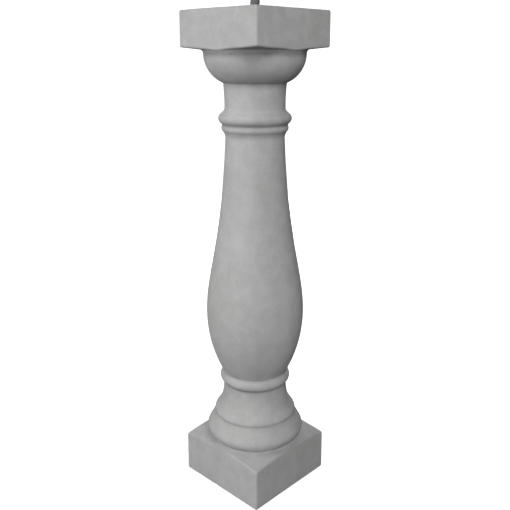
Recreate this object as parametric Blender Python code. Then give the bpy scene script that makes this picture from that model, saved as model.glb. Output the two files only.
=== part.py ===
"""A cast stone baluster with the stub of its steel bar, in metres, +Z up.

The stone stands on its plinth at the origin. Everything between the plinth and the abacus is turned
about the Z axis; the two blocks are the same square, so one upright block cuts the turned form square.
"""

import math

import bmesh
import bpy

# The square blank
HEIGHT = 0.700
BLOCK_SIDE = 0.150
BLOCK_ARRIS = 0.003
ABACUS_HEIGHT = 0.051
PLINTH_HEIGHT = 0.060

# How far the widest rounds stay inside the faces of the blocks
CUP_SET_IN = 0.0024
BELLY_SET_IN = 0.0027
TORUS_SET_IN = 0.0023

# Cup and upper neck, counted down from the abacus
SOFFIT_DROP = 0.003
COVE = 0.005
CUP_ROUND = 0.0442
NECK_RADIUS = 0.0450
NECK_WAIST = 0.0436
NECK_HEIGHT = 0.0405
NECK_FILLET = 0.0025

# The two rings stand out equally far from the foot of the belly
RING_STAND = 0.0056
HIGH_RING_BULGE = 0.0086
HIGH_RING_TOP = 68.0
HIGH_RING_FOOT = -58.0
LOW_RING_BULGE = 0.0083
LOW_RING_FOOT = -68.0

# Bead under the upper ring, and the collar that runs out of it into the shaft
BEAD_SET_IN = 0.0045
BEAD_BULGE = 0.007
BEAD_FOOT = -60.0
GROOVE_DEPTH = 0.0012
COLLAR_HEIGHT = 0.0075

# Bellied shaft
SHAFT_RADIUS = 0.0426
SHAFT_HOLLOW = 0.158
SHAFT_LEAN = 0.0067
BELLY_FULLNESS = 0.060
BELLY_RISE = 0.0956
BELLY_FOOT_RADIUS = 0.0472

# Flare between the lower neck and the torus
LOW_NECK_RADIUS = 0.0474
LOW_NECK_HEIGHT = 0.0047
FLARE_RADIUS = 0.0615
FLARE_HEIGHT = 0.043
FLARE_LIP = 0.0084
FLARE_HOLLOW = 0.0325
CREASE = 0.001

# Torus and the shoulder above it, counted up from the plinth
TORUS_CREST = 0.0195
TORUS_ROLL = 0.014
TORUS_FOOT = -72.0
SHOULDER_HEIGHT = 0.0239
SHOULDER_SWELL = 0.0038
SHOULDER_RUN = 0.0107
SHOULDER_BATTER = math.radians(23.0)

# Steel bar in its socket
BAR_DIAMETER = 0.014
BAR_STUB = 0.100
BAR_EMBEDDED = 0.060
BAR_CHAMFER = 0.001
FIT_GAP = 0.0003

# Fineness of the facets
TURNED_STEPS = 48
ARRIS_STEPS = 3
BAR_SIDES = 24
BELLY_STEPS = 7
BEAD_STEPS = 4
COVE_STEPS = 3
CUP_STEPS = 8
FLARE_STEPS = 8
NECK_STEPS = 3
RING_STEPS = 6
SHAFT_STEPS = 14
TORUS_STEPS = 5

# Distance within which turned points are one, and how far a cutting shape runs past what it cuts
MERGE_DISTANCE = 0.00002
OVERCUT = 0.010

# Creases sharper than this are shaded crisp
CRISP_ANGLE = math.radians(28.0)

STONE_GREY = (0.36, 0.36, 0.35, 1.0)
STONE_ROUGHNESS = 0.92
STEEL_GREY = (0.07, 0.066, 0.062, 1.0)
STEEL_ROUGHNESS = 0.62
STEEL_METALLIC = 0.9


def corner_reach() -> float:
    """Distance from the axis to the rounded vertical corners of the blocks."""
    return BLOCK_SIDE / 2 * math.sqrt(2) - BLOCK_ARRIS * (math.sqrt(2) - 1)


def arc(centre_r, centre_z, radius, start, end, steps):
    """Points of a circular arc, with its angles in degrees up from the horizontal."""
    points = []
    for i in range(steps + 1):
        angle = math.radians(start + (end - start) * i / steps)
        points.append((centre_r + radius * math.cos(angle), centre_z + radius * math.sin(angle)))
    return points


def sweep(start, start_handle, end_handle, end, steps):
    """Points of the smooth curve that leaves start towards its handle and meets end from its own."""
    knots = (start, start_handle, end_handle, end)
    points = []
    for i in range(steps + 1):
        t = i / steps
        weights = ((1 - t) ** 3, 3 * (1 - t) ** 2 * t, 3 * (1 - t) * t ** 2, t ** 3)
        points.append(tuple(sum(w * knot[k] for w, knot in zip(weights, knots)) for k in (0, 1)))
    return points


def arc_angle(radius_at_end, crest_radius, bulge):
    """Angle in degrees at which a bulge of that crest radius has come in to the given radius."""
    return math.degrees(math.acos((radius_at_end - (crest_radius - bulge)) / bulge))


def cup_and_neck():
    """Outline from the abacus's soffit down to the foot of the upper neck."""
    cup_radius = BLOCK_SIDE / 2 - CUP_SET_IN
    cup_top = HEIGHT - ABACUS_HEIGHT - SOFFIT_DROP - COVE
    cup_foot = -arc_angle(NECK_RADIUS, cup_radius, CUP_ROUND)
    cove = arc(cup_radius + COVE, cup_top, COVE, 90, 180, COVE_STEPS)
    cup = arc(cup_radius - CUP_ROUND, cup_top, CUP_ROUND, 0, cup_foot, CUP_STEPS)
    neck_top = cup[-1][1]
    neck_foot = neck_top - NECK_HEIGHT
    waist = (NECK_WAIST, (neck_top + neck_foot) / 2)
    under_cup = (NECK_RADIUS, neck_top - NECK_FILLET)
    over_ring = (NECK_WAIST, neck_foot + NECK_FILLET)
    return cove + cup[1:] + sweep(under_cup, waist, waist, over_ring, NECK_STEPS), neck_foot


def ring_and_collar(neck_foot):
    """Outline of the upper ring, its bead, and the collar that ends at the top of the shaft."""
    ring_radius = BELLY_FOOT_RADIUS + RING_STAND
    inner = ring_radius - HIGH_RING_BULGE
    ring_z = neck_foot - HIGH_RING_BULGE
    ring = arc(inner, ring_z, HIGH_RING_BULGE, HIGH_RING_TOP, HIGH_RING_FOOT, RING_STEPS)
    bead_radius = ring_radius - BEAD_SET_IN
    groove_r = bead_radius - GROOVE_DEPTH
    groove_z = ring[-1][1] - (ring[-1][0] - groove_r)
    bead_top = arc_angle(groove_r, bead_radius, BEAD_BULGE)
    bead_z = groove_z - BEAD_BULGE * math.sin(math.radians(bead_top))
    bead = arc(bead_radius - BEAD_BULGE, bead_z, BEAD_BULGE, bead_top, BEAD_FOOT, BEAD_STEPS)
    bead_r, bead_foot = bead[-1]
    handle_z = bead_foot - COLLAR_HEIGHT / 3
    shaft_top = (SHAFT_RADIUS, bead_foot - COLLAR_HEIGHT)
    collar = sweep(bead[-1], (bead_r, handle_z), (SHAFT_RADIUS, handle_z), shaft_top, NECK_STEPS)
    return ring + [(groove_r, groove_z)] + bead[1:] + collar[1:]


def foot_profile():
    """Outline from the belly's foot down to where the torus meets the plinth."""
    crest_z = PLINTH_HEIGHT + TORUS_CREST
    crease_r = FLARE_RADIUS - CREASE
    crease_z = crest_z + SHOULDER_HEIGHT
    flare_z = crease_z + CREASE
    neck_z = flare_z + FLARE_HEIGHT
    ring_z = neck_z + LOW_NECK_HEIGHT + LOW_RING_BULGE
    ring_radius = BELLY_FOOT_RADIUS + RING_STAND
    ring_top = arc_angle(BELLY_FOOT_RADIUS, ring_radius, LOW_RING_BULGE)
    inner = ring_radius - LOW_RING_BULGE
    ring = arc(inner, ring_z, LOW_RING_BULGE, ring_top, LOW_RING_FOOT, RING_STEPS)
    flare = sweep(
        (LOW_NECK_RADIUS, neck_z),
        (LOW_NECK_RADIUS, neck_z - FLARE_HOLLOW),
        (FLARE_RADIUS, flare_z + FLARE_LIP),
        (FLARE_RADIUS, flare_z),
        FLARE_STEPS,
    )
    torus_radius = BLOCK_SIDE / 2 - TORUS_SET_IN
    run_r = SHOULDER_RUN * math.sin(SHOULDER_BATTER)
    run_z = SHOULDER_RUN * math.cos(SHOULDER_BATTER)
    shoulder = sweep(
        (crease_r, crease_z),
        (crease_r + run_r, crease_z - run_z),
        (torus_radius, crest_z + SHOULDER_SWELL),
        (torus_radius, crest_z),
        TORUS_STEPS,
    )
    torus = arc(torus_radius - TORUS_ROLL, crest_z, TORUS_ROLL, 0, TORUS_FOOT, TORUS_STEPS)
    return ring + flare + shoulder + torus[1:]


def shaft_profile(top, foot):
    """Outline of the bellied shaft between the foot of the collar and the top of the lower ring."""
    belly_radius = BLOCK_SIDE / 2 - BELLY_SET_IN
    belly_z = foot[1] + BELLY_RISE
    inset = belly_radius - foot[0]
    belly_curve = (inset ** 2 + BELLY_RISE ** 2) / (2 * inset)
    foot_angle = -math.degrees(math.asin(BELLY_RISE / belly_curve))
    upper = sweep(
        top,
        (SHAFT_RADIUS + SHAFT_LEAN, top[1] - SHAFT_HOLLOW),
        (belly_radius, belly_z + BELLY_FULLNESS),
        (belly_radius, belly_z),
        SHAFT_STEPS,
    )
    lower = arc(belly_radius - belly_curve, belly_z, belly_curve, 0, foot_angle, BELLY_STEPS)
    return upper[1:] + lower[1:-1]


def outward(inner, corner, reach):
    """The point at the given radius on the line from an inner point through a block's corner."""
    slope = (corner[1] - inner[1]) / (corner[0] - inner[0])
    return (reach, inner[1] + slope * (reach - inner[0]))


def whole_profile():
    """Closed outline from the axis above the top to the axis below the base."""
    head, neck_foot = cup_and_neck()
    head += ring_and_collar(neck_foot)
    foot = foot_profile()
    shaft = shaft_profile(head[-1], foot[0])
    disc = corner_reach() + OVERCUT
    soffit = outward(head[0], (corner_reach(), HEIGHT - ABACUS_HEIGHT), disc)
    wash = outward(foot[-1], (corner_reach(), PLINTH_HEIGHT), disc)
    ends_top = [(0.0, HEIGHT + OVERCUT), (disc, HEIGHT + OVERCUT), soffit]
    ends_base = [wash, (disc, -OVERCUT), (0.0, -OVERCUT)]
    return ends_top + head + shaft + foot + ends_base


def add_object(name, mesh):
    """Links a new object that carries the mesh."""
    thing = bpy.data.objects.new(name, mesh)
    bpy.context.scene.collection.objects.link(thing)
    return thing


def bake(thing):
    """Applies the object's modifiers to its mesh."""
    depsgraph = bpy.context.evaluated_depsgraph_get()
    mesh = bpy.data.meshes.new_from_object(thing.evaluated_get(depsgraph))
    thing.modifiers.clear()
    thing.data = mesh


def combine(body, tool, operation):
    """Applies one exact Boolean with the tool, which is then removed."""
    modifier = body.modifiers.new(operation.lower(), "BOOLEAN")
    modifier.operation = operation
    modifier.solver = "EXACT"
    modifier.object = tool
    bake(body)
    bpy.data.objects.remove(tool)


def turned_body(name):
    """The outline turned about the Z axis with a Screw modifier."""
    points = [(r, 0.0, z) for r, z in whole_profile()]
    edges = [(i, i + 1) for i in range(len(points) - 1)]
    mesh = bpy.data.meshes.new(name)
    mesh.from_pydata(points, edges, [])
    body = add_object(name, mesh)
    screw = body.modifiers.new("turn", "SCREW")
    screw.axis = "Z"
    screw.steps = TURNED_STEPS
    screw.render_steps = TURNED_STEPS
    screw.use_merge_vertices = True
    screw.merge_threshold = MERGE_DISTANCE
    screw.use_smooth_shade = True
    bake(body)
    return body


def square_block(name):
    """The upright block whose faces are those of the plinth and the abacus."""
    shape = bmesh.new()
    bmesh.ops.create_cube(shape, size=1.0)
    for vertex in shape.verts:
        vertex.co.x *= BLOCK_SIDE
        vertex.co.y *= BLOCK_SIDE
        vertex.co.z = (vertex.co.z + 0.5) * HEIGHT
    bmesh.ops.bevel(
        shape,
        geom=shape.edges[:],
        offset=BLOCK_ARRIS,
        segments=ARRIS_STEPS,
        profile=0.5,
        affect="EDGES",
    )
    mesh = bpy.data.meshes.new(name)
    shape.to_mesh(mesh)
    shape.free()
    return add_object(name, mesh)


def is_level(edge):
    """Whether both ends of an edge are at the same height."""
    low, high = edge.verts
    return abs(low.co.z - high.co.z) < MERGE_DISTANCE


def round_bar(name, radius, low, high, chamfer):
    """An upright round bar between two heights, its ends eased where a chamfer is given."""
    shape = bmesh.new()
    bmesh.ops.create_cone(
        shape,
        cap_ends=True,
        segments=BAR_SIDES,
        radius1=radius,
        radius2=radius,
        depth=high - low,
    )
    bmesh.ops.translate(shape, verts=shape.verts[:], vec=(0.0, 0.0, (low + high) / 2))
    if chamfer > 0:
        rims = [edge for edge in shape.edges if is_level(edge)]
        bmesh.ops.bevel(shape, geom=rims, offset=chamfer, segments=1, profile=0.5, affect="EDGES")
    mesh = bpy.data.meshes.new(name)
    shape.to_mesh(mesh)
    shape.free()
    return add_object(name, mesh)


def finish(thing, material_name, colour, roughness, metallic):
    """Smooth shading with crisp creases, and a material of its own."""
    thing.data.shade_smooth()
    thing.data.set_sharp_from_angle(angle=CRISP_ANGLE)
    material = bpy.data.materials.new(material_name)
    material.use_nodes = True
    shader = material.node_tree.nodes["Principled BSDF"]
    shader.inputs["Base Color"].default_value = colour
    shader.inputs["Roughness"].default_value = roughness
    shader.inputs["Metallic"].default_value = metallic
    thing.data.materials.clear()
    thing.data.materials.append(material)


def make_baluster():
    """The cast stone: a turned form cut square, with a blind socket for the bar in its top."""
    stone = turned_body("baluster")
    combine(stone, square_block("block"), "INTERSECT")
    socket_floor = HEIGHT - BAR_EMBEDDED - FIT_GAP
    socket = round_bar("socket", BAR_DIAMETER / 2 + FIT_GAP, socket_floor, HEIGHT + OVERCUT, 0.0)
    combine(stone, socket, "DIFFERENCE")
    finish(stone, "cast_stone", STONE_GREY, STONE_ROUGHNESS, 0.0)


def make_bar():
    """The steel bar, set in its socket and standing up out of the abacus."""
    low = HEIGHT - BAR_EMBEDDED
    bar = round_bar("reinforcing_bar", BAR_DIAMETER / 2, low, HEIGHT + BAR_STUB, BAR_CHAMFER)
    finish(bar, "mill_steel", STEEL_GREY, STEEL_ROUGHNESS, STEEL_METALLIC)


def main():
    """Clears the scene and makes both pieces."""
    for thing in list(bpy.data.objects):
        bpy.data.objects.remove(thing)
    make_baluster()
    make_bar()


main()
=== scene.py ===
"""The looks of a cast stone baluster with the stub of its steel bar, in metres, +Z up.

The stone is one closed grid in polar form: its columns fan out round the turning axis, and its rows run
from the floor of the bar's socket over the abacus, down the turned outline and the plinth to the middle
of the underside. The bar is a ribbed grid of its own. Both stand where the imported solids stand.
"""

import logging
import math
from collections.abc import Callable
from dataclasses import dataclass, field
from enum import Enum

import bpy
import numpy as np
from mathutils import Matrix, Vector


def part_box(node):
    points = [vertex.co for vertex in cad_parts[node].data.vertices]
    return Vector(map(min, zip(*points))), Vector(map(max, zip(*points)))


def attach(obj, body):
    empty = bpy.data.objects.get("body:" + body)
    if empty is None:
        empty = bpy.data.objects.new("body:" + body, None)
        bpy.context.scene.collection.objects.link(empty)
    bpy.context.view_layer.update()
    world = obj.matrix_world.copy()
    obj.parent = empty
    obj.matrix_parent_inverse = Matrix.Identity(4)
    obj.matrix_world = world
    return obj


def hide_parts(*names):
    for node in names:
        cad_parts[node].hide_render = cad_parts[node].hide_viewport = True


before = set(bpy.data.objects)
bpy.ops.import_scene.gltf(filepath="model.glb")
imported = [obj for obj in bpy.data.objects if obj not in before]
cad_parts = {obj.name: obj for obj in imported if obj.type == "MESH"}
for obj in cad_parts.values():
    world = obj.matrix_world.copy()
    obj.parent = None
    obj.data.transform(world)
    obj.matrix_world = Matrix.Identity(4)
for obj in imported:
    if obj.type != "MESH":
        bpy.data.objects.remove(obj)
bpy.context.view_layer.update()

PHOTO_SIDE = 510
SENSOR_WIDTH = 36.0
BODY = "root"

# Numbers for the arithmetic on outlines: points nearer than this share of the spacing are one, a bell
# curve is cut off at so many of its widths, and a step or a normal shorter than this counts as this long
SAME_POINT = 0.01
BELL_REACH = 4
LEAST_STEP = 1e-6
LEAST_NORMAL = 1e-12

# Stretches of a noise between 0 and 1 that are spread over a whole range
NARROW = (0.35, 0.65)
MIDDLE = (0.3, 0.7)
WIDE = (0.25, 0.75)
WHOLE = (0.0, 1.0)

log = logging.getLogger("baluster")

Wire = bpy.types.NodeSocket
Point = tuple[float, float]


class Slot(Enum):
    """The record's material slots."""

    STONE = "cast_stone"
    STEEL = "mill_steel"


class ShadeMark(Enum):
    """Names of the attributes that carry painted shade: on the arrises, in the hollows and under the abacus
    and the cup.
    """

    ARRIS = "arris"
    HOLLOW = "hollow"


def arc(centre: Point, radius: float, start: float, end: float, steps: int = 60) -> np.ndarray:
    """Points centre + radius * (cos a, sin a), with a running evenly between two angles in degrees.

    Args:
        centre: Middle of the circle as radius and height.
        radius: Radius of the circle.
        start: First angle, up from the horizontal.
        end: Last angle.
        steps: Number of equal steps between them.

    Returns:
        The points as rows of radius and height.
    """
    angle = np.radians(np.linspace(start, end, steps + 1))
    return np.stack([centre[0] + radius * np.cos(angle), centre[1] + radius * np.sin(angle)], axis=1)


def sweep(start: Point, start_handle: Point, end_handle: Point, end: Point, steps: int = 200) -> np.ndarray:
    """The cubic curve (1-t)^3 A + 3(1-t)^2 t B + 3(1-t) t^2 C + t^3 D for t from 0 to 1.

    Args:
        start: Point A, as radius and height.
        start_handle: Point B, towards which the curve leaves A.
        end_handle: Point C, from which it meets D.
        end: Point D.
        steps: Number of equal steps of t.

    Returns:
        The points as rows of radius and height.
    """
    t = np.linspace(0.0, 1.0, steps + 1)[:, None]
    knots = [np.array(point) for point in (start, start_handle, end_handle, end)]
    weights = ((1 - t) ** 3, 3 * (1 - t) ** 2 * t, 3 * (1 - t) * t ** 2, t ** 3)
    return sum(weight * knot for weight, knot in zip(weights, knots))


def arc_angle(radius_at_end: float, crest_radius: float, bulge: float) -> float:
    """Angle in degrees at which a bulge of that crest radius has come in to the given radius."""
    return math.degrees(math.acos((radius_at_end - (crest_radius - bulge)) / bulge))


def path_length(points: np.ndarray) -> np.ndarray:
    """Running length along a polyline, from zero at its first point."""
    steps = np.linalg.norm(np.diff(points, axis=0), axis=1)
    return np.concatenate([[0.0], np.cumsum(steps)])


def eased(points: np.ndarray, spacing: float, ease: float) -> np.ndarray:
    """A polyline read at even spacing and blurred along its length with a bell curve of width ease.

    Args:
        points: Corner points of the polyline.
        spacing: Distance between the points that come back.
        ease: Standard deviation of the bell curve, about a third of the rounding that a crease gets.

    Returns:
        The eased polyline, whose two ends stay where they were.
    """
    keep = np.concatenate([[True], np.diff(path_length(points)) > SAME_POINT * spacing])
    points = points[keep]
    length = path_length(points)
    even = np.linspace(0.0, length[-1], int(length[-1] / spacing) + 1)
    line = np.stack([np.interp(even, length, points[:, k]) for k in (0, 1)], axis=1)
    reach = int(BELL_REACH * ease / spacing)
    bell = np.exp(-0.5 * (np.arange(-reach, reach + 1) * spacing / ease) ** 2)
    bell /= bell.sum()
    before = 2 * line[0] - line[reach:0:-1]
    after = 2 * line[-1] - line[-2:-reach - 2:-1]
    padded = np.concatenate([before, line, after])
    return np.stack([np.convolve(padded[:, k], bell, mode="valid") for k in (0, 1)], axis=1)


def bend(points: np.ndarray) -> np.ndarray:
    """Curvature along the first axis of an array of radii and heights, positive where it is hollow.

    It is the turn of the path's direction at each point over the mean length of the two steps there.

    Args:
        points: Radii and heights on the last axis, running from the top down.

    Returns:
        The curvature at each point, at the two ends that of their neighbours.
    """
    step = np.diff(points, axis=0)
    size = np.maximum(np.linalg.norm(step, axis=-1), LEAST_STEP)
    heading = np.unwrap(np.arctan2(step[..., 1], step[..., 0]), axis=0)
    turn = np.diff(heading, axis=0) / ((size[1:] + size[:-1]) / 2)
    return np.pad(turn, [(1, 1)] + [(0, 0)] * (turn.ndim - 1), mode="edge")


def spaced_by_bend(points: np.ndarray, count: int, pull: float) -> np.ndarray:
    """A polyline read at count points, closer together where it bends.

    The points stand at equal steps of the integral of 1 + pull * |curvature| along the line.

    Args:
        points: The polyline.
        count: Number of points that come back.
        pull: Length that a bend of one radian adds to the line's own.

    Returns:
        The points as rows of radius and height.
    """
    length = path_length(points)
    density = 1 + pull * np.abs(bend(points))
    weight = np.concatenate([[0.0], np.cumsum((density[1:] + density[:-1]) / 2 * np.diff(length))])
    at = np.interp(np.linspace(0.0, weight[-1], count), weight, length)
    return np.stack([np.interp(at, length, points[:, k]) for k in (0, 1)], axis=1)


def spread_along(values: np.ndarray, path: np.ndarray, width: float) -> np.ndarray:
    """Values on the rows of a grid, averaged along its columns under a bell curve.

    Args:
        values: One value for each row and column.
        path: Radius and height of each row, by which the running length is measured.
        width: Standard deviation of the bell curve.

    Returns:
        The integral of the values times the bell of unit area, at each row.
    """
    length = path_length(path)
    bell = np.exp(-0.5 * ((length[:, None] - length) / width) ** 2) / (width * math.sqrt(2 * math.pi))
    return (bell * np.gradient(length)) @ values


def grid_normals(points: np.ndarray) -> np.ndarray:
    """Unit normals of a grid whose columns close up, as the cross product of its two directions.

    Args:
        points: Rings of points, each counterclockwise seen from above, the topmost ring first.

    Returns:
        The outward normal at each point.
    """
    along = np.gradient(points, axis=0)
    across = np.roll(points, -1, axis=1) - np.roll(points, 1, axis=1)
    normal = np.cross(along, across)
    return normal / np.maximum(np.linalg.norm(normal, axis=-1, keepdims=True), LEAST_NORMAL)


def between(steps: int) -> np.ndarray:
    """The shares between 0 and 1 at equal steps, without either end, as a column."""
    return np.linspace(0.0, 1.0, steps + 1)[1:-1, None]


def rings(radius: np.ndarray, height: np.ndarray | float) -> np.ndarray:
    """Pairs a grid of radii with heights that may be one number, one per row or one per point."""
    return np.stack([radius, np.broadcast_to(height, radius.shape)], axis=-1)


@dataclass(frozen=True)
class Ripple:
    """Smooth noise of unit spread: the mean of sine waves that run in random directions in space.

    Each wave's length is between the two span values times the middle wavelength.
    """

    weight: float
    wavelength: float
    waves: int
    seed: int
    span: tuple[float, float] = (0.7, 1.4)

    def at(self, points: np.ndarray) -> np.ndarray:
        """The sum of the sines, times the root of two over their number.

        Args:
            points: Positions in an array whose last axis is x, y, z.

        Returns:
            The noise at each point.
        """
        draw = np.random.default_rng(self.seed)
        heading = draw.normal(size=(3, self.waves))
        heading /= np.linalg.norm(heading, axis=0)
        pitch = self.wavelength * draw.uniform(*self.span, self.waves)
        phase = draw.uniform(0.0, 2 * math.pi, self.waves)
        total = np.sin(points @ (heading * 2 * math.pi / pitch) + phase).sum(axis=-1)
        return total * math.sqrt(2 / self.waves)


def capped_grid(name: str, points: np.ndarray, top: tuple, base: tuple) -> bpy.types.Object:
    """A closed smooth mesh from a grid of rings, with a fan of triangles to one point at either end.

    Args:
        name: Name of the object.
        points: Rings of points, each counterclockwise seen from above, the topmost ring first.
        top: Point in the middle of the first ring.
        base: Point in the middle of the last ring.

    Returns:
        The object, with its faces outward.
    """
    rows, columns = points.shape[:2]
    row, column = np.meshgrid(np.arange(rows - 1), np.arange(columns), indexing="ij")
    here = row * columns + column
    beside = row * columns + (column + 1) % columns
    quads = np.stack([here, here + columns, beside + columns, beside], axis=-1).reshape(-1, 4)
    ring = np.arange(columns)
    following = (ring + 1) % columns
    last = (rows - 1) * columns
    crown = np.stack([np.full(columns, rows * columns), ring, following], axis=1)
    sole = np.stack([np.full(columns, rows * columns + 1), last + following, last + ring], axis=1)
    vertices = np.concatenate([points.reshape(-1, 3), [top], [base]])
    mesh = bpy.data.meshes.new(name)
    mesh.from_pydata(vertices, [], quads.tolist() + crown.tolist() + sole.tolist())
    mesh.shade_smooth()
    mesh.validate()
    thing = bpy.data.objects.new(name, mesh)
    bpy.context.scene.collection.objects.link(thing)
    return thing


def paint(thing: bpy.types.Object, shade_mark: ShadeMark, values: np.ndarray) -> None:
    """Writes a grid of values, with zero at the two end points, as an attribute of the mesh."""
    layer = thing.data.attributes.new(shade_mark.value, "FLOAT", "POINT")
    layer.data.foreach_set("value", np.concatenate([values.ravel(), [0.0, 0.0]]).astype(np.float32))


class ShaderNet:
    """The node tree of one material, put together socket by socket on Object coordinates."""

    def __init__(self, name: str) -> None:
        """Starts a material with its Principled shader and its coordinates."""
        self.material = bpy.data.materials.new(name)
        self.material.use_nodes = True
        self.tree = self.material.node_tree
        self.shader = self.tree.nodes["Principled BSDF"]
        self.place = self.tree.nodes.new("ShaderNodeTexCoord").outputs["Object"]

    def node(self, kind: str, values: dict | None = None, **settings: str) -> bpy.types.Node:
        """Adds a node.

        Args:
            kind: Blender's name of the node type.
            values: What goes into each input, a number, a colour or another node's output.
            settings: The node's own properties.

        Returns:
            The new node.
        """
        made = self.tree.nodes.new(kind)
        for name, setting in settings.items():
            setattr(made, name, setting)
        for name, value in (values or {}).items():
            if isinstance(value, Wire):
                self.tree.links.new(value, made.inputs[name])
            else:
                made.inputs[name].default_value = value
        return made

    def noise(self, size: float, detail: float, roughness: float) -> Wire:
        """Cloudy noise between 0 and 1 whose largest forms measure about size."""
        values = {"Vector": self.place, "Scale": 1 / size, "Detail": detail, "Roughness": roughness}
        return self.node("ShaderNodeTexNoise", values).outputs["Fac"]

    def cells(self, size: float) -> bpy.types.Node:
        """Random cells about size across, with their Distance and Color outputs."""
        values = {"Vector": self.place, "Scale": 1 / size}
        return self.node("ShaderNodeTexVoronoi", values, feature="F1", distance="EUCLIDEAN")

    def attribute(self, shade_mark: ShadeMark) -> Wire:
        """The number that the mesh carries for one kind of painted shade."""
        return self.node("ShaderNodeAttribute", attribute_name=shade_mark.value).outputs["Fac"]

    def math(self, operation: str, *values: Wire | float) -> Wire:
        """One step of arithmetic on two or three values."""
        return self.node("ShaderNodeMath", dict(enumerate(values)), operation=operation).outputs[0]

    def spread(self, value: Wire, source: tuple[float, float], target: tuple[float, float]) -> Wire:
        """Maps one range to another smoothly and holds the ends.

        Args:
            value: The number to map.
            source: Its lowest and highest value.
            target: What they become.

        Returns:
            The mapped number.
        """
        ends = {"From Min": source[0], "From Max": source[1], "To Min": target[0], "To Max": target[1]}
        values = {"Value": value, **ends}
        return self.node("ShaderNodeMapRange", values, interpolation_type="SMOOTHSTEP").outputs["Result"]

    def product(self, first: Wire, *others: Wire) -> Wire:
        """All the numbers multiplied."""
        for other in others:
            first = self.math("MULTIPLY", first, other)
        return first

    def blend(self, factor: Wire, first: tuple, second: tuple) -> Wire:
        """The colour between two others.

        Args:
            factor: 0 for the first, 1 for the second.
            first: Red, green and blue.
            second: Red, green and blue.

        Returns:
            The mixed colour.
        """
        made = self.node("ShaderNodeMix", {"Factor": factor}, data_type="RGBA")
        for socket, colour in zip([s for s in made.inputs if s.type == "RGBA"], (first, second)):
            socket.default_value = (*colour, 1.0)
        return next(s for s in made.outputs if s.type == "RGBA")

    def scaled(self, colour: Wire, factor: Wire) -> Wire:
        """A colour times a number."""
        made = self.node("ShaderNodeVectorMath", {0: colour, "Scale": factor}, operation="SCALE")
        return made.outputs["Vector"]

    def relief(self, height: Wire, distance: float, below: Wire | None = None) -> Wire:
        """A normal tilted by a height between 0 and 1.

        Args:
            height: The height.
            distance: What a height of 1 stands for.
            below: The normal that it is laid over.

        Returns:
            The tilted normal.
        """
        values = {"Height": height, "Distance": distance, "Strength": 1.0}
        if below is not None:
            values["Normal"] = below
        return self.node("ShaderNodeBump", values).outputs["Normal"]

    def finish(self, colour: Wire, roughness: Wire, normal: Wire) -> bpy.types.Material:
        """Links the three results to the shader.

        Args:
            colour: For Base Color.
            roughness: For Roughness.
            normal: For Normal.

        Returns:
            The whole material.
        """
        self.tree.links.new(colour, self.shader.inputs["Base Color"])
        self.tree.links.new(roughness, self.shader.inputs["Roughness"])
        self.tree.links.new(normal, self.shader.inputs["Normal"])
        return self.material


@dataclass(frozen=True)
class CastStone:
    """Cast stone from a smooth mould: matt cement grey, softly clouded, with fine sand and air pits.

    Sizes are in metres. A tone multiplies the colour, at the low and the high end of its noise or, where
    it is one number, at full strength.
    """

    warm: tuple = (0.400, 0.399, 0.396)
    cool: tuple = (0.386, 0.387, 0.388)
    cloud: float = 0.110
    cloud_tone: tuple = (0.945, 1.055)
    mottle: float = 0.016
    mottle_tone: tuple = (0.93, 1.07)
    mottle_relief: float = 0.00012
    grain: float = 0.0012
    grain_tone: tuple = (0.93, 1.07)
    grain_relief: float = 0.00006
    pit_cell: float = 0.011
    pit_radius: float = 0.0011
    pit_rim: float = 0.05
    # Painted shade in the air pits, laid over their bumped dip
    pit_shade_tone: float = 0.72
    pit_depth: float = 0.0006
    unpitted: float = 0.72
    # Painted shade at full strength in the hollows and under the abacus and the cup
    hollow_shade_tone: float = 0.55
    # Painted shade on the arrises, which damps the light that they catch
    arris_shade_tone: float = 0.90
    roughness: tuple = (0.86, 0.96)
    gloss: float = 0.35

    def material(self) -> bpy.types.Material:
        """Clouds, mottling and grain multiply the tone, and painted shade in the pits, in the hollows,
        under the abacus and the cup and on the arrises darkens it.

        A cell whose random number is above the unpitted share has a pit, the larger the higher it is.

        Returns:
            The finish of the stone.
        """
        net = ShaderNet("cast stone")
        cloud = net.noise(self.cloud, detail=3.0, roughness=0.55)
        mottle = net.noise(self.mottle, detail=3.0, roughness=0.6)
        grain = net.noise(self.grain, detail=2.0, roughness=0.6)
        cells = net.cells(self.pit_cell)
        size = net.node("ShaderNodeSeparateColor", {"Color": cells.outputs["Color"]}).outputs["Red"]
        radius = net.spread(size, (self.unpitted, 1.0), (0.0, self.pit_radius / self.pit_cell))
        depth = net.math("SUBTRACT", cells.outputs["Distance"], radius)
        pit = net.spread(depth, (-self.pit_rim, 0.0), (1.0, 0.0))
        # Painted shade: the pits, the hollow mark and the arris mark darken the colour
        tone = net.product(
            net.spread(cloud, MIDDLE, self.cloud_tone),
            net.spread(mottle, WIDE, self.mottle_tone),
            net.spread(grain, WIDE, self.grain_tone),
            net.spread(pit, WHOLE, (1.0, self.pit_shade_tone)),
            net.spread(net.attribute(ShadeMark.HOLLOW), WHOLE, (1.0, self.hollow_shade_tone)),
            net.spread(net.attribute(ShadeMark.ARRIS), WHOLE, (1.0, self.arris_shade_tone)),
        )
        colour = net.scaled(net.blend(net.spread(cloud, NARROW, WHOLE), self.warm, self.cool), tone)
        skin = net.relief(mottle, self.mottle_relief)
        skin = net.relief(grain, self.grain_relief, skin)
        skin = net.relief(net.math("SUBTRACT", 1.0, pit), self.pit_depth, skin)
        net.shader.inputs["Specular IOR Level"].default_value = self.gloss
        return net.finish(colour, net.spread(mottle, MIDDLE, self.roughness), skin)


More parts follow.
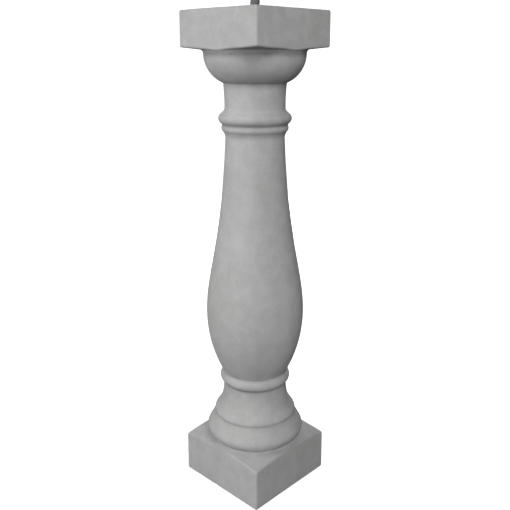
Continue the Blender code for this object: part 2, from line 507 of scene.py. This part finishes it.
@dataclass(frozen=True)
class MillSteel:
    """Hot rolled steel under dull mill scale, with a bloom of rust in patches."""

    scale: tuple = (0.122, 0.122, 0.122)
    rust: tuple = (0.150, 0.138, 0.130)
    most_rust: float = 0.8
    patch: float = 0.014
    patch_edge: tuple = (0.46, 0.68)
    speck: float = 0.0011
    speck_tone: tuple = (0.75, 1.25)
    speck_relief: float = 0.00012
    roughness: tuple = (0.52, 0.78)
    metallic: float = 0.35

    def material(self) -> bpy.types.Material:
        """Patches of rust over the scale, both broken up by fine specks that also roughen it.

        Returns:
            The finish of the bar.
        """
        net = ShaderNet("mill steel")
        patch = net.noise(self.patch, detail=4.0, roughness=0.62)
        speck = net.noise(self.speck, detail=3.0, roughness=0.6)
        rusted = net.spread(patch, self.patch_edge, (0.0, self.most_rust))
        colour = net.blend(rusted, self.scale, self.rust)
        colour = net.scaled(colour, net.spread(speck, WIDE, self.speck_tone))
        net.shader.inputs["Metallic"].default_value = self.metallic
        roughness = net.spread(patch, MIDDLE, self.roughness)
        return net.finish(colour, roughness, net.relief(speck, self.speck_relief))


@dataclass(frozen=True)
class StudioWhite:
    """Pale floor and backdrop that glow, so that shadows stay faint and the floor runs into the wall."""

    albedo: float = 0.85
    glow: tuple = (0.70, 1.0)
    away: tuple = (0.5, 1.6)

    def material(self) -> bpy.types.Material:
        """A matt white whose glow grows with the distance from the object.

        Returns:
            The finish of the stage.
        """
        net = ShaderNet("studio white")
        away = net.node("ShaderNodeVectorMath", {0: net.place}, operation="LENGTH").outputs["Value"]
        net.tree.links.new(net.spread(away, self.away, self.glow), net.shader.inputs["Emission Strength"])
        net.shader.inputs["Emission Color"].default_value = (1.0, 1.0, 1.0, 1.0)
        net.shader.inputs["Base Color"].default_value = (self.albedo, self.albedo, self.albedo, 1.0)
        net.shader.inputs["Roughness"].default_value = 1.0
        net.shader.inputs["Specular IOR Level"].default_value = 0.0
        return net.material


@dataclass
class TurnedOutline:
    """Everything that is turned, from the top of the cup to the wash round the torus.

    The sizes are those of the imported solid, but for a bead and a groove that are a little stronger, a
    torus that is undercut a little less, and creases that are eased and filled. In the methods, a name
    that ends in r or z is the radius or the height of a point of the outline.
    """

    height: float
    half_side: float
    arris: float
    abacus_height: float = 0.051
    plinth_height: float = 0.060
    cup_set_in: float = 0.0024
    belly_set_in: float = 0.0027
    torus_set_in: float = 0.0023
    soffit_drop: float = 0.003
    cove: float = 0.005
    cup_round: float = 0.0442
    neck_radius: float = 0.0450
    neck_waist: float = 0.0436
    neck_height: float = 0.0405
    neck_fillet: float = 0.0025
    ring_stand: float = 0.0056
    high_ring_bulge: float = 0.0086
    high_ring_ends: tuple = (68.0, -58.0)
    low_ring_bulge: float = 0.0083
    low_ring_foot: float = -68.0
    bead_set_in: float = 0.0045
    bead_bulge: float = 0.0072
    bead_foot: float = -60.0
    groove_depth: float = 0.0016
    collar_height: float = 0.0075
    shaft_radius: float = 0.0426
    shaft_hollow: float = 0.158
    shaft_lean: float = 0.0067
    belly_fullness: float = 0.060
    belly_rise: float = 0.0956
    belly_foot_radius: float = 0.0472
    low_neck_radius: float = 0.0474
    low_neck_height: float = 0.0047
    flare_radius: float = 0.0615
    flare_height: float = 0.043
    flare_lip: float = 0.0084
    flare_hollow: float = 0.0325
    crease: float = 0.001
    torus_crest: float = 0.0195
    torus_roll: float = 0.014
    torus_foot: float = -66.0
    shoulder_height: float = 0.0239
    shoulder_swell: float = 0.0038
    shoulder_run: float = 0.0107
    shoulder_batter: float = math.radians(23.0)
    wash_start: float = 0.0712
    ease: float = 0.0011
    soft_ease: float = 0.0026
    fill_reach: float = 0.007
    fineness: float = 0.00015

    @property
    def cup_radius(self) -> float:
        """Greatest radius of the cup."""
        return self.half_side - self.cup_set_in

    @property
    def cup_top(self) -> float:
        """Height at which the cup comes out of the cove under the abacus."""
        return self.height - self.abacus_height - self.soffit_drop - self.cove

    @property
    def cup_foot(self) -> float:
        """Angle in degrees at which the cup meets the neck."""
        return -arc_angle(self.neck_radius, self.cup_radius, self.cup_round)

    @property
    def neck_top(self) -> float:
        """Height at which the cup meets the neck."""
        return self.cup_top + self.cup_round * math.sin(math.radians(self.cup_foot))

    @property
    def neck_foot(self) -> float:
        """Height at which the neck meets the upper ring."""
        return self.neck_top - self.neck_height

    @property
    def ring_radius(self) -> float:
        """Greatest radius of both rings."""
        return self.belly_foot_radius + self.ring_stand

    @property
    def filled_creases(self) -> np.ndarray:
        """Heights of the creases above both rings and at the torus's foot."""
        foot = self.foot()
        return np.array([self.neck_foot, foot[0, 1], foot[-1, 1]])

    @property
    def torus_end(self) -> np.ndarray:
        """Point at which the torus meets the wash."""
        foot = math.radians(self.torus_foot)
        radius = self.half_side - self.torus_set_in - self.torus_roll * (1 - math.cos(foot))
        return np.array([radius, self.plinth_height + self.torus_crest + self.torus_roll * math.sin(foot)])

    @property
    def corner_reach(self) -> float:
        """Distance from the axis to the rounded corners of the blocks."""
        return self.half_side * math.sqrt(2) - self.arris * (math.sqrt(2) - 1)

    def soffit(self, radius: np.ndarray) -> np.ndarray:
        """Height of the underside of the abacus at a radius.

        Inside the cove's foot it is a quarter circle that comes off the cup; outside, a straight rise to
        the abacus's lower edge at its corners.

        Args:
            radius: Distance from the axis.

        Returns:
            The height at each radius.
        """
        foot = self.cup_radius + self.cove
        level = self.cup_top + self.cove
        rise = self.soffit_drop / (self.corner_reach - foot)
        inside = np.clip(foot - radius, 0.0, self.cove)
        curve = self.cup_top + np.sqrt(np.maximum(self.cove ** 2 - inside ** 2, 0.0))
        return np.where(radius < foot, curve, level + rise * (radius - foot))

    def wash(self, radius: np.ndarray) -> np.ndarray:
        """Height of the top of the plinth: a straight fall from the torus to the plinth's corners.

        Args:
            radius: Distance from the axis.

        Returns:
            The height at each radius.
        """
        start, level = self.torus_end
        fall = (level - self.plinth_height) / (self.corner_reach - start)
        return level - fall * (radius - start)

    def head(self) -> np.ndarray:
        """Outline of the cup, a circular arc, and of the waisted neck, a cubic curve.

        Returns:
            The points from the cup's top to the neck's foot.
        """
        cup = arc((self.cup_radius - self.cup_round, self.cup_top), self.cup_round, 0, self.cup_foot)
        waist = (self.neck_waist, (self.neck_top + self.neck_foot) / 2)
        under_cup = (self.neck_radius, self.neck_top - self.neck_fillet)
        over_ring = (self.neck_waist, self.neck_foot + self.neck_fillet)
        return np.concatenate([cup, sweep(under_cup, waist, waist, over_ring)])

    def ring_and_collar(self) -> np.ndarray:
        """Outline of the upper ring and its bead, two arcs with a groove between them, and the collar.

        Returns:
            The points from the neck's foot to the top of the shaft.
        """
        centre = (self.ring_radius - self.high_ring_bulge, self.neck_foot - self.high_ring_bulge)
        ring = arc(centre, self.high_ring_bulge, *self.high_ring_ends)
        bead_radius = self.ring_radius - self.bead_set_in
        groove_r = bead_radius - self.groove_depth
        groove_z = ring[-1, 1] - (ring[-1, 0] - groove_r)
        bead_top = arc_angle(groove_r, bead_radius, self.bead_bulge)
        bead_z = groove_z - self.bead_bulge * math.sin(math.radians(bead_top))
        bead = arc((bead_radius - self.bead_bulge, bead_z), self.bead_bulge, bead_top, self.bead_foot)
        end_r, end_z = bead[-1]
        handle_z = end_z - self.collar_height / 3
        shaft_top = (self.shaft_radius, end_z - self.collar_height)
        collar = sweep((end_r, end_z), (end_r, handle_z), (self.shaft_radius, handle_z), shaft_top)
        return np.concatenate([ring, bead, collar])

    def shaft(self, top: np.ndarray, foot: np.ndarray) -> np.ndarray:
        """Outline of the bellied shaft: a cubic curve down to its widest, then a circular arc.

        Args:
            top: Its first point.
            foot: Its last point.

        Returns:
            The points from top to foot.
        """
        belly_radius = self.half_side - self.belly_set_in
        belly_z = foot[1] + self.belly_rise
        inset = belly_radius - foot[0]
        curve = (inset ** 2 + self.belly_rise ** 2) / (2 * inset)
        foot_angle = -math.degrees(math.asin(self.belly_rise / curve))
        upper = sweep(
            tuple(top),
            (self.shaft_radius + self.shaft_lean, top[1] - self.shaft_hollow),
            (belly_radius, belly_z + self.belly_fullness),
            (belly_radius, belly_z),
        )
        return np.concatenate([upper, arc((belly_radius - curve, belly_z), curve, 0, foot_angle)])

    def foot(self) -> np.ndarray:
        """Outline of the lower ring and the torus, both arcs, and of the cubic curves between them.

        Returns:
            The points from the belly's foot to the end of the torus.
        """
        crest_z = self.plinth_height + self.torus_crest
        crease_r = self.flare_radius - self.crease
        crease_z = crest_z + self.shoulder_height
        flare_z = crease_z + self.crease
        neck_z = flare_z + self.flare_height
        ring_z = neck_z + self.low_neck_height + self.low_ring_bulge
        ring_top = arc_angle(self.belly_foot_radius, self.ring_radius, self.low_ring_bulge)
        inner = self.ring_radius - self.low_ring_bulge
        ring = arc((inner, ring_z), self.low_ring_bulge, ring_top, self.low_ring_foot)
        flare = sweep(
            (self.low_neck_radius, neck_z),
            (self.low_neck_radius, neck_z - self.flare_hollow),
            (self.flare_radius, flare_z + self.flare_lip),
            (self.flare_radius, flare_z),
        )
        torus_radius = self.half_side - self.torus_set_in
        run_r = self.shoulder_run * math.sin(self.shoulder_batter)
        run_z = self.shoulder_run * math.cos(self.shoulder_batter)
        shoulder = sweep(
            (crease_r, crease_z),
            (crease_r + run_r, crease_z - run_z),
            (torus_radius, crest_z + self.shoulder_swell),
            (torus_radius, crest_z),
        )
        torus = arc((torus_radius - self.torus_roll, crest_z), self.torus_roll, 0, self.torus_foot)
        return np.concatenate([ring, flare, shoulder, torus])

    def filled(self, height: np.ndarray) -> np.ndarray:
        """How far a crease is filled at a height: 1 at each filled crease, falling off as a bell."""
        away = height[..., None] - self.filled_creases
        return np.exp(-(away / self.fill_reach) ** 2).max(axis=-1)

    def curve(self) -> np.ndarray:
        """The whole turned outline from the cup's top to the start of the wash, its creases eased.

        It is a mean of a finely and a softly eased line, weighted by how far the creases are filled.

        Returns:
            The points from the top down.
        """
        ring = self.ring_and_collar()
        foot = self.foot()
        wash = np.array([[self.wash_start, float(self.wash(np.array(self.wash_start)))]])
        line = np.concatenate([self.head(), ring, self.shaft(ring[-1], foot[0]), foot, wash])
        fine = eased(line, self.fineness, self.ease)
        soft = eased(line, self.fineness, self.soft_ease)
        return fine + (soft - fine) * self.filled(fine[:, 1])[:, None]


@dataclass
class Baluster:
    """The cast stone from the socket for its bar to its underside.

    The socket's steps are the depths of its first rings as shares of its own, and its shares are the
    radii of all of them. A convex bend of the blunt radius is no arris yet, and one of half of it is one.
    """

    node: str = "baluster"
    arris: float = 0.003
    blunt: float = 0.006
    socket_radius: float = 0.0073
    socket_depth: float = 0.0603
    socket_steps: tuple = (1.0, 1.0, 0.98, 0.66, 0.33)
    socket_shares: tuple = (0.5, 0.96, 1.0, 1.0, 1.0, 1.0, 1.02, 1.08)
    socket_rim: float = 0.0012
    columns: int = 256
    corner_pull: float = 0.8
    top_steps: int = 13
    top_crowding: float = 0.8
    arris_steps: int = 7
    abacus_steps: int = 17
    abacus_edge_steps: int = 6
    soffit_steps: int = 14
    turned_rows: int = 230
    bend_pull: float = 0.020
    wash_steps: int = 11
    plinth_edge_steps: int = 7
    plinth_steps: int = 21
    sole_steps: int = 9
    unevenness: float = 0.00022
    ripples: tuple = (
        Ripple(weight=0.6, wavelength=0.075, waves=24, seed=7),
        Ripple(weight=0.4, wavelength=0.024, waves=32, seed=8),
    )
    nicks: int = 16
    nick_seed: int = 41
    nick_arris: float = 0.8
    nick_reach: tuple = (0.0012, 0.0034)
    nick_depth: tuple = (0.00035, 0.0010)
    # Painted shade in the creases: the width it spreads over, its share and its most
    crease_shade_width: float = 0.0020
    crease_shade_share: float = 1.4
    most_crease_shade: float = 0.67
    # Painted shade under the abacus, deeper under its corners, and down the top of the neck
    shade_band: float = 0.0085
    corner_shade: float = 0.62
    corner_drop: float = 0.006
    corner_overhang: float = 0.75
    neck_shade: float = 0.55
    neck_drop: float = 0.011
    finish: CastStone = field(default_factory=CastStone)
    outline: TurnedOutline = field(init=False)
    angle: np.ndarray = field(init=False)

    def __post_init__(self) -> None:
        """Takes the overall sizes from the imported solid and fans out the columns."""
        low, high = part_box(self.node)
        self.outline = TurnedOutline(high.z - low.z, (high.x - low.x) / 2, self.arris)
        even = np.arange(self.columns) * 2 * math.pi / self.columns
        self.angle = even + self.corner_pull / 4 * np.sin(4 * even)

    def reach(self, corner: np.ndarray | float) -> np.ndarray:
        """Distance from the axis to a rounded square in each column's direction.

        The square's rounded corners have the given radius and stay centred where the arrises are. With
        the angle folded into one eighth of a turn, a flat is at half / cos a, and a corner is at the far
        crossing with its circle.

        Args:
            corner: One radius, a column of them with one for each row, or one for each point.

        Returns:
            The distance at each point.
        """
        centre = self.outline.half_side - self.arris
        folded = np.abs((self.angle + math.pi / 4) % (math.pi / 2) - math.pi / 4)
        flat = (centre + corner) / np.cos(folded)
        across = centre * (np.cos(folded) - np.sin(folded))
        round_part = np.sqrt(np.maximum(corner ** 2 - across ** 2, 0.0))
        turned = centre * (np.cos(folded) + np.sin(folded)) + round_part
        return np.where(np.tan(folded) * (centre + corner) <= centre, flat, turned)

    def socket_rows(self) -> np.ndarray:
        """Rings from the socket's floor up its wall, whose rim is eased.

        Returns:
            Rings of radius and height.
        """
        rim = [self.socket_rim, self.socket_rim / 4, 0.0]
        drop = np.concatenate([self.socket_depth * np.array(self.socket_steps), rim])
        radii = self.socket_radius * np.array(self.socket_shares)[:, None]
        height = (self.outline.height - drop)[:, None]
        return rings(np.repeat(radii, self.columns, axis=1), height)

    def top_rows(self) -> np.ndarray:
        """The top of the abacus, from the socket's rim to its edge, and the round of its upper arris.

        Returns:
            Rings of radius and height.
        """
        share = np.linspace(0.0, 1.0, self.top_steps + 1)[1:, None] ** self.top_crowding
        inner = self.socket_radius * self.socket_shares[-1]
        flat = rings(inner + (self.reach(0.0) - inner) * share, self.outline.height)
        turn = self.quarter_turn()[1:]
        height = self.outline.height - self.arris * (1 - np.cos(turn))
        return np.concatenate([flat, rings(self.reach(self.arris * np.sin(turn)), height)])

    def quarter_turn(self) -> np.ndarray:
        """The angles round an arris, from 0 to a right angle, as a column."""
        return np.radians(np.linspace(0.0, 90.0, self.arris_steps + 1))[:, None]

    def eased_edge(self, height_at: Callable[[np.ndarray], np.ndarray], share: np.ndarray) -> np.ndarray:
        """The round between an upright face and a sloping one, as a quadratic curve round their edge.

        The curve is (1-t)^2 A + 2(1-t) t B + t^2 C, where B is the edge itself, A is on the upright face
        and C on the sloping one, each as far from B as the round reaches.

        Args:
            height_at: Height of the sloping face at a radius.
            share: Values of t, which is 0 on the upright face and 1 on the sloping one.

        Returns:
            Rings of radius and height.
        """
        t = share[:, None]
        edge = self.reach(self.arris)
        room = np.minimum(self.arris, (edge - self.outline.cup_radius) / 2)
        inner = self.reach(self.arris - room)
        side = 1.0 if height_at(np.array(edge.max())) > self.outline.height / 2 else -1.0
        upright = height_at(edge) + side * room
        height = (1 - t) ** 2 * upright + 2 * (1 - t) * t * height_at(edge) + t ** 2 * height_at(inner)
        return rings(self.reach(self.arris - room * t ** 2), height)

    def upright_rows(self, height: np.ndarray) -> np.ndarray:
        """Rings on the upright faces of a block, one for each row of heights."""
        return rings(np.repeat(self.reach(self.arris)[None], len(height), axis=0), height)

    def abacus_rows(self) -> np.ndarray:
        """The face of the abacus, its lower arris and the soffit in to the cup.

        Along the soffit the radius closes in on the cup with the square of what is left of the way, so
        that the rings crowd in the cove.

        Returns:
            Rings of radius and height.
        """
        lower = self.eased_edge(self.outline.soffit, np.linspace(0.0, 1.0, self.abacus_edge_steps + 1))
        top = self.outline.height - self.arris
        faces = self.upright_rows(top + (lower[0, :, 1] - top) * between(self.abacus_steps))
        left = (1 - between(self.soffit_steps)) ** 2
        radius = self.outline.cup_radius + (lower[-1, :, 0] - self.outline.cup_radius) * left
        return np.concatenate([faces, lower, rings(radius, self.outline.soffit(radius))])

    def turned_part(self) -> np.ndarray:
        """The turned outline, the same in every column."""
        line = spaced_by_bend(self.outline.curve(), self.turned_rows, self.bend_pull)
        return np.repeat(line[:, None], self.columns, axis=1)

    def plinth_rows(self) -> np.ndarray:
        """The wash, the plinth's upper arris, its face and the round of its lower arris.

        Returns:
            Rings of radius and height.
        """
        upper = self.eased_edge(self.outline.wash, np.linspace(1.0, 0.0, self.plinth_edge_steps + 1))
        start = self.outline.wash_start
        radius = start + (upper[0, :, 0] - start) * between(self.wash_steps)
        foot = upper[-1, :, 1]
        faces = self.upright_rows(foot + (self.arris - foot) * between(self.plinth_steps))
        turn = self.quarter_turn()
        height = self.arris * (1 - np.sin(turn))
        round_part = rings(self.reach(self.arris * np.cos(turn)), height)
        return np.concatenate([rings(radius, self.outline.wash(radius)), upper, faces, round_part])

    def underside_rows(self) -> np.ndarray:
        """The underside, in to a small ring round the axis."""
        return rings(self.reach(0.0) * (1 - between(self.sole_steps)), 0.0)

    def nicked(self, points: np.ndarray, arris: np.ndarray) -> np.ndarray:
        """Depth of the small nicks: bell-shaped dips round points drawn at random from the arrises.

        Args:
            points: The surface.
            arris: How far each point is an arris, from 0 to 1.

        Returns:
            The depth at each point.
        """
        draw = np.random.default_rng(self.nick_seed)
        rows, columns = np.nonzero(arris > self.nick_arris)
        chosen = draw.choice(len(rows), self.nicks, replace=False)
        centre = points[rows[chosen], columns[chosen]]
        reach = draw.uniform(*self.nick_reach, self.nicks)
        depth = draw.uniform(*self.nick_depth, self.nicks)
        away = np.linalg.norm(points[:, :, None] - centre, axis=-1)
        return (depth * np.exp(-(away / reach) ** 2)).max(axis=-1)

    def overhang_shade(self, height: np.ndarray) -> np.ndarray:
        """Painted shade under the abacus, deepest under its corners, and under the cup.

        Under the abacus it is the larger of two straight falls down from the cup's top: one from 1 over an
        even band, and a fainter one over a depth that grows with how far the abacus stands out in that
        column. It also falls to 0 at the soffit above. Under the cup it falls in a straight line down the
        neck.

        Args:
            height: Height of each point, in rows and columns.

        Returns:
            The painted shade at each point, from 0 to 1.
        """
        below = self.outline.cup_top - height
        overhang = self.reach(self.arris) - self.outline.cup_radius
        band = 1 - below / self.shade_band
        corner = self.corner_shade * (1 - below / (self.corner_drop + self.corner_overhang * overhang))
        under_abacus = np.minimum(np.maximum(band, corner), 1 + below / self.outline.cove)
        down = self.outline.neck_top - height
        under_cup = np.where(down > 0, self.neck_shade * (1 - down / self.neck_drop), 0.0)
        return np.clip(np.maximum(under_abacus, under_cup), 0.0, 1.0)

    def build(self) -> bpy.types.Object:
        """Joins the rows, wears the surface inward and marks where shade is painted on it.

        The surface goes in along its normal by half the unevenness times one plus a mean of the ripples,
        and by the depth of the nicks. Painted shade in the creases is the hollow bend nearby, times the
        width that it spreads over and a share; it has a most, and leaves out the filled creases and what is
        above the cup.

        Returns:
            The stone as one closed object.
        """
        parts = [self.socket_rows(), self.top_rows(), self.abacus_rows(), self.turned_part()]
        profile = np.concatenate(parts + [self.plinth_rows(), self.underside_rows()])
        curvature = bend(profile)
        # The arris mark places the nicks and is painted shade on the arrises
        arris = np.clip(-curvature * self.blunt - 1, 0.0, 1.0)
        radius, height = profile[..., 0], profile[..., 1]
        # Painted shade in the creases, left out of the filled creases and above the cup
        crease_shade_mask = (1 - self.outline.filled(height)) * (height < self.outline.cup_top)
        crease = spread_along(np.maximum(curvature, 0.0) * crease_shade_mask, profile.mean(axis=1), self.crease_shade_width)
        crease_shade = np.minimum(self.crease_shade_share * self.crease_shade_width * crease, self.most_crease_shade)
        # The hollow mark is painted shade: in the creases, under the abacus and under the cup
        hollow = np.clip(np.maximum(crease_shade, self.overhang_shade(height)), 0.0, 1.0)
        points = np.stack([radius * np.cos(self.angle), radius * np.sin(self.angle), height], axis=-1)
        uneven = sum(ripple.weight * ripple.at(points) for ripple in self.ripples)
        depth = self.unevenness * (1 + np.clip(uneven, -1.0, 1.0)) / 2 + self.nicked(points, arris)
        points -= grid_normals(points) * depth[..., None]
        floor = self.outline.height - self.socket_depth
        stone = capped_grid("stone", points, (0.0, 0.0, floor), (0.0, 0.0, 0.0))
        paint(stone, ShadeMark.ARRIS, arris)
        paint(stone, ShadeMark.HOLLOW, hollow)
        return stone

    def dress(self, stone: bpy.types.Object) -> None:
        """Gives the stone its finish and its place in the model."""
        stone.data.materials.append(self.finish.material())
        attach(stone, BODY)
        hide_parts(self.node)


@dataclass
class ReinforcingBar:
    """The ribbed steel bar, set in its socket and sawn off above the abacus."""

    node: str = "reinforcing_bar"
    core: float = 0.0064
    rib_pitch: float = 0.0085
    rib_width: float = 0.0022
    rib_slant: float = 0.0045
    spine_width: float = math.radians(16.0)
    chamfer: float = 0.0007
    sawn: float = 0.94
    columns: int = 64
    rows: int = 240
    finish: MillSteel = field(default_factory=MillSteel)

    def build(self) -> bpy.types.Object:
        """The radius is the core plus the larger of two ribs, less a chamfer at either end.

        A cross rib is a bell in the height above its slanted pitch line, times the root of the sine of the
        angle from the spine, so it fades out at the spines. A spine is a bell in the angle, on two
        opposite sides. One more ring inside each end keeps the sawn faces flat.

        Returns:
            The bar as one closed object.
        """
        low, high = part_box(self.node)
        tall = (high.x - low.x) / 2 - self.core
        angle = np.arange(self.columns) * 2 * math.pi / self.columns
        height = np.linspace(high.z, low.z, self.rows)[:, None]
        slanted = height + self.rib_slant * np.abs(np.cos(angle)) * np.sign(np.sin(angle))
        offset = (slanted + self.rib_pitch / 2) % self.rib_pitch - self.rib_pitch / 2
        cross = np.exp(-(2 * offset / self.rib_width) ** 2) * np.sqrt(np.abs(np.sin(angle)))
        aside = np.minimum(angle % math.pi, math.pi - angle % math.pi)
        spine = np.exp(-(2 * aside / self.spine_width) ** 2)
        ends = np.minimum(high.z - height, height - low.z) / self.chamfer
        radius = self.core + tall * np.maximum(cross, spine)
        radius = radius - self.chamfer * np.clip(1 - ends, 0.0, 1.0)
        radius = np.concatenate([self.sawn * radius[:1], radius, self.sawn * radius[-1:]])
        height = np.concatenate([height[:1], height, height[-1:]])
        points = np.stack([radius * np.cos(angle), radius * np.sin(angle), height + 0 * angle], axis=-1)
        return capped_grid("bar", points, (0.0, 0.0, high.z), (0.0, 0.0, low.z))

    def dress(self, bar: bpy.types.Object) -> None:
        """Gives the bar its finish and its place in the model."""
        bar.data.materials.append(self.finish.material())
        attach(bar, BODY)
        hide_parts(self.node)


@dataclass(frozen=True)
class Lamp:
    """One square soft light, placed by its direction from the middle of the object."""

    name: str
    aside: float
    elevation: float
    power: float
    size: float = 0.9
    distance: float = 2.2

    def hang(self, facing: float, aim_height: float) -> None:
        """Hangs the lamp so that it looks at the object.

        Args:
            facing: The photograph's azimuth in degrees, from which the lamp's own is counted.
            aim_height: Height of the point that it looks at.
        """
        data = bpy.data.lights.new(self.name, "AREA")
        data.shape = "SQUARE"
        data.size = self.size
        data.energy = self.power
        lamp = bpy.data.objects.new(self.name, data)
        bpy.context.scene.collection.objects.link(lamp)
        turn, lift = math.radians(facing + self.aside), math.radians(self.elevation)
        out = self.distance * math.cos(lift)
        rise = aim_height + self.distance * math.sin(lift)
        lamp.location = (out * math.sin(turn), -out * math.cos(turn), rise)
        lamp.rotation_euler = (math.pi / 2 - lift, 0.0, turn)
        lamp.visible_camera = False


@dataclass
class Studio:
    """Pale floor, pale round backdrop, and soft lights from the front, the left, above and behind."""

    facing: float
    floor_radius: float = 4.0
    wall_height: float = 5.0
    inner_share: float = 0.5
    sides: int = 96
    aim_height: float = 0.38
    lamps: tuple = (
        Lamp("front", aside=-10.0, elevation=10.0, power=22.0),
        Lamp("left", aside=-80.0, elevation=20.0, power=27.0),
        Lamp("high right", aside=22.0, elevation=42.0, power=17.5),
        Lamp("back", aside=172.0, elevation=10.0, power=24.0),
    )
    sky: float = 0.18
    horizon: float = 0.18
    ground: float = 0.0
    finish: StudioWhite = field(default_factory=StudioWhite)

    def build_stage(self) -> None:
        """A floor, a round wall and a roof, as rings about the axis, that neither light nor shade."""
        radius = self.floor_radius * np.array([self.inner_share, 1.0, 1.0, self.inner_share])[:, None]
        height = np.array([0.0, 0.0, self.wall_height, self.wall_height])[:, None]
        angle = np.linspace(0.0, 2 * math.pi, self.sides, endpoint=False)
        points = np.stack([radius * np.cos(angle), radius * np.sin(angle), height + 0 * angle], axis=-1)
        stage = capped_grid("stage", points, (0.0, 0.0, 0.0), (0.0, 0.0, self.wall_height))
        stage.data.shade_flat()
        stage.data.materials.append(self.finish.material())
        stage.visible_diffuse = False
        stage.visible_glossy = False
        stage.visible_shadow = False

    def build_sky(self) -> None:
        """Light from all round, which a ramp gives by the height of the ray: from the ground at 0 over the
        horizon at a half to the sky at 1, where the height is half the ray's z and a half.
        """
        world = bpy.data.worlds.new("studio air")
        bpy.context.scene.world = world
        world.use_nodes = True
        tree = world.node_tree
        place = tree.nodes.new("ShaderNodeTexCoord")
        split = tree.nodes.new("ShaderNodeSeparateXYZ")
        ramp = tree.nodes.new("ShaderNodeValToRGB")
        lift = tree.nodes.new("ShaderNodeMath")
        lift.operation = "MULTIPLY_ADD"
        lift.inputs[1].default_value = 0.5
        lift.inputs[2].default_value = 0.5
        steps = ((0.0, self.ground), (0.5, self.horizon), (1.0, self.sky))
        ramp.color_ramp.elements.new(0.5)
        for element, (position, level) in zip(ramp.color_ramp.elements, steps):
            element.position = position
            element.color = (level, level, level, 1.0)
        tree.links.new(place.outputs["Generated"], split.inputs[0])
        tree.links.new(split.outputs["Z"], lift.inputs[0])
        tree.links.new(lift.outputs[0], ramp.inputs[0])
        tree.links.new(ramp.outputs["Color"], tree.nodes["Background"].inputs["Color"])

    def build(self) -> None:
        """Sets up the stage, the lights and the sky, and keeps tones as they are lit."""
        self.build_stage()
        for lamp in self.lamps:
            lamp.hang(self.facing, self.aim_height)
        self.build_sky()
        bpy.context.scene.view_settings.view_transform = "Standard"


@dataclass
class PhotoCamera:
    """The photograph's viewpoint: as high as the cup's top, looking down, and a degree off the corner."""

    azimuth: float = 44.0
    distance: float = 0.950
    height: float = 0.640
    tilt: float = 11.0
    focal_pixels: float = 667.0
    shift: float = -0.14

    def build(self) -> None:
        """Places the camera; its focal length in pixels of the photograph gives the lens."""
        data = bpy.data.cameras.new("photo camera")
        data.sensor_width = SENSOR_WIDTH
        data.lens = self.focal_pixels / PHOTO_SIDE * SENSOR_WIDTH
        data.shift_y = self.shift
        camera = bpy.data.objects.new("photo camera", data)
        bpy.context.scene.collection.objects.link(camera)
        turn = math.radians(self.azimuth)
        camera.location = (self.distance * math.sin(turn), -self.distance * math.cos(turn), self.height)
        camera.rotation_euler = (math.radians(90.0 - self.tilt), 0.0, turn)
        bpy.context.scene.camera = camera


def main() -> None:
    """Builds both pieces, the studio and the camera."""
    logging.basicConfig(level=logging.INFO, format="%(name)s: %(message)s")
    for sub_assembly in (Baluster(), ReinforcingBar()):
        piece = sub_assembly.build()
        sub_assembly.dress(piece)
        log.info("%s stands for %s, %d faces", piece.name, sub_assembly.node, len(piece.data.polygons))
    camera = PhotoCamera()
    camera.build()
    Studio(facing=camera.azimuth).build()


if __name__ == "__main__":
    main()
